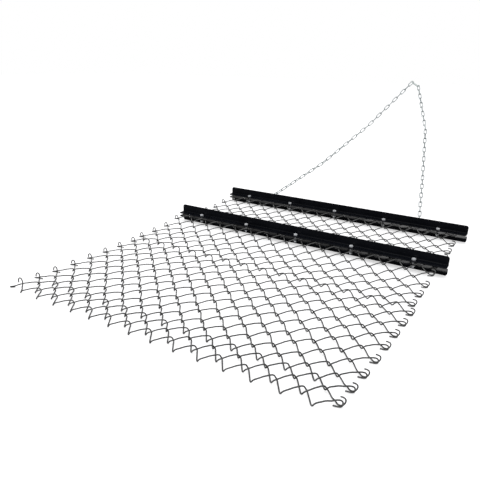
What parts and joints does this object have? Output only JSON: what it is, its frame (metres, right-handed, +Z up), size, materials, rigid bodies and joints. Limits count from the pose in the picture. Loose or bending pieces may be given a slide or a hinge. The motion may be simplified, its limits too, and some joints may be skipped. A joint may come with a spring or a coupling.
{
  "type": "chain harrow",
  "caption": "Drag harrow: a mat of interlocked zigzag wires clamped between bolted angle irons, with a V of tow chain meeting at a hitch link.",
  "frame": {"origin": "middle of the bounding box, on the ground", "axes": "+X along the beams, to the right when looking the way it is towed; +Y the way it is towed; +Z up"},
  "size_m": [1.676, 2.9392, 0.8913],
  "materials": {
    "black_paint": "gloss black paint",
    "galvanised_wire": "galvanised, mid grey",
    "zinc_bolts": "bright zinc",
    "zinc_chain": "pale zinc",
    "zinc_hitch": "pale zinc"
  },
  "bodies": {
    "front_beam": {"front_upper_angle": "black_paint", "front_lower_angle": "black_paint", "front_bolt_1": "zinc_bolts", "front_bolt_2": "zinc_bolts", "front_bolt_3": "zinc_bolts", "front_bolt_4": "zinc_bolts", "front_bolt_5": "zinc_bolts", "left_tow_staple": "black_paint", "right_tow_staple": "black_paint", "mat_wire_01": "galvanised_wire"},
    "mat_between_front": {"mat_wire_02": "galvanised_wire", "mat_wire_03": "galvanised_wire", "mat_wire_04": "galvanised_wire", "mat_wire_05": "galvanised_wire", "mat_wire_06": "galvanised_wire"},
    "mat_between_rear": {"mat_wire_07": "galvanised_wire", "mat_wire_08": "galvanised_wire", "mat_wire_09": "galvanised_wire", "mat_wire_10": "galvanised_wire", "mat_wire_11": "galvanised_wire"},
    "rear_beam": {"rear_upper_angle": "black_paint", "rear_lower_angle": "black_paint", "rear_bolt_1": "zinc_bolts", "rear_bolt_2": "zinc_bolts", "rear_bolt_3": "zinc_bolts", "rear_bolt_4": "zinc_bolts", "rear_bolt_5": "zinc_bolts", "mat_wire_12": "galvanised_wire"},
    "mat_rear_1": {"mat_wire_13": "galvanised_wire", "mat_wire_14": "galvanised_wire", "mat_wire_15": "galvanised_wire", "mat_wire_16": "galvanised_wire"},
    "mat_rear_2": {"mat_wire_17": "galvanised_wire", "mat_wire_18": "galvanised_wire", "mat_wire_19": "galvanised_wire", "mat_wire_20": "galvanised_wire", "mat_wire_21": "galvanised_wire", "mat_wire_22": "galvanised_wire"},
    "mat_rear_3": {"mat_wire_23": "galvanised_wire", "mat_wire_24": "galvanised_wire", "mat_wire_25": "galvanised_wire", "mat_wire_26": "galvanised_wire"},
    "mat_rear_4": {"mat_wire_27": "galvanised_wire", "mat_wire_28": "galvanised_wire", "mat_wire_29": "galvanised_wire", "mat_wire_30": "galvanised_wire"},
    "mat_rear_5": {"mat_wire_31": "galvanised_wire", "mat_wire_32": "galvanised_wire"},
    "mat_rear_6": {"mat_wire_33": "galvanised_wire", "mat_wire_34": "galvanised_wire", "mat_wire_35": "galvanised_wire", "mat_wire_36": "galvanised_wire"},
    "left_chain_low": {"left_chain_lower": "zinc_chain"},
    "left_chain_mid": {"left_chain_middle": "zinc_chain"},
    "left_chain_top": {"left_chain_upper": "zinc_chain", "hitch_link": "zinc_hitch"},
    "right_chain_low": {"right_chain_lower": "zinc_chain"},
    "right_chain_mid": {"right_chain_middle": "zinc_chain"},
    "right_chain_top": {"right_chain_upper": "zinc_chain"}
  },
  "joints": [
    {"name": "mat_front_line", "type": "hinge", "parent": "front_beam", "child": "mat_between_front", "pos_m": [0, 0.39223, 0.04585], "axis": [1, 0, 0], "range_deg": [-18, 18]},
    {"name": "mat_middle_line", "type": "hinge", "parent": "mat_between_front", "child": "mat_between_rear", "pos_m": [0, 0.11983, 0.0076], "axis": [1, 0, 0], "range_deg": [-18, 18]},
    {"name": "rear_beam_front_line", "type": "hinge", "parent": "mat_between_rear", "child": "rear_beam", "pos_m": [0, -0.15258, 0.04585], "axis": [1, 0, 0], "range_deg": [-18, 18]},
    {"name": "rear_beam_back_line", "type": "hinge", "parent": "rear_beam", "child": "mat_rear_1", "pos_m": [0, -0.20858, 0.04585], "axis": [1, 0, 0], "range_deg": [-18, 18]},
    {"name": "mat_line_16", "type": "hinge", "parent": "mat_rear_1", "child": "mat_rear_2", "pos_m": [0, -0.43115, 0.01425], "axis": [1, 0, 0], "range_deg": [-18, 18]},
    {"name": "mat_line_22", "type": "hinge", "parent": "mat_rear_2", "child": "mat_rear_3", "pos_m": [0, -0.74537, 0.0136], "axis": [1, 0, 0], "range_deg": [-18, 18]},
    {"name": "mat_line_26", "type": "hinge", "parent": "mat_rear_3", "child": "mat_rear_4", "pos_m": [0, -0.96174, 0.0136], "axis": [1, 0, 0], "range_deg": [-18, 18]},
    {"name": "mat_line_30", "type": "hinge", "parent": "mat_rear_4", "child": "mat_rear_5", "pos_m": [0, -1.1781, 0.0136], "axis": [1, 0, 0], "range_deg": [-18, 18]},
    {"name": "mat_line_32", "type": "hinge", "parent": "mat_rear_5", "child": "mat_rear_6", "pos_m": [0, -1.28629, 0.0136], "axis": [1, 0, 0], "range_deg": [-18, 18]},
    {"name": "left_chain_lift", "type": "hinge", "parent": "front_beam", "child": "left_chain_low", "pos_m": [-0.5, 0.46923, 0.0814], "axis": [1, 0, 0], "range_deg": [-40, 45]},
    {"name": "left_chain_fold_1", "type": "hinge", "parent": "left_chain_low", "child": "left_chain_mid", "pos_m": [-0.28134, 0.83618, 0.29155], "axis": [1, 0, 0], "range_deg": [-20, 12]},
    {"name": "left_chain_fold_2", "type": "hinge", "parent": "left_chain_mid", "child": "left_chain_top", "pos_m": [-0.0599, 1.16804, 0.56221], "axis": [1, 0, 0], "range_deg": [-20, 12]},
    {"name": "right_chain_lift", "type": "hinge", "parent": "front_beam", "child": "right_chain_low", "pos_m": [0.545, 0.46923, 0.0814], "axis": [1, 0, 0], "range_deg": [-40, 45]},
    {"name": "right_chain_fold_1", "type": "hinge", "parent": "right_chain_low", "child": "right_chain_mid", "pos_m": [0.45588, 0.83618, 0.29155], "axis": [1, 0, 0], "range_deg": [-20, 12]},
    {"name": "right_chain_fold_2", "type": "hinge", "parent": "right_chain_mid", "child": "right_chain_top", "pos_m": [0.36296, 1.16804, 0.56221], "axis": [1, 0, 0], "range_deg": [-20, 12]}
  ],
  "couplings": [
    {"joint": "right_chain_lift", "follows": "left_chain_lift", "ratio": 1},
    {"joint": "right_chain_fold_1", "follows": "left_chain_fold_1", "ratio": 1},
    {"joint": "right_chain_fold_2", "follows": "left_chain_fold_2", "ratio": 1}
  ]
}
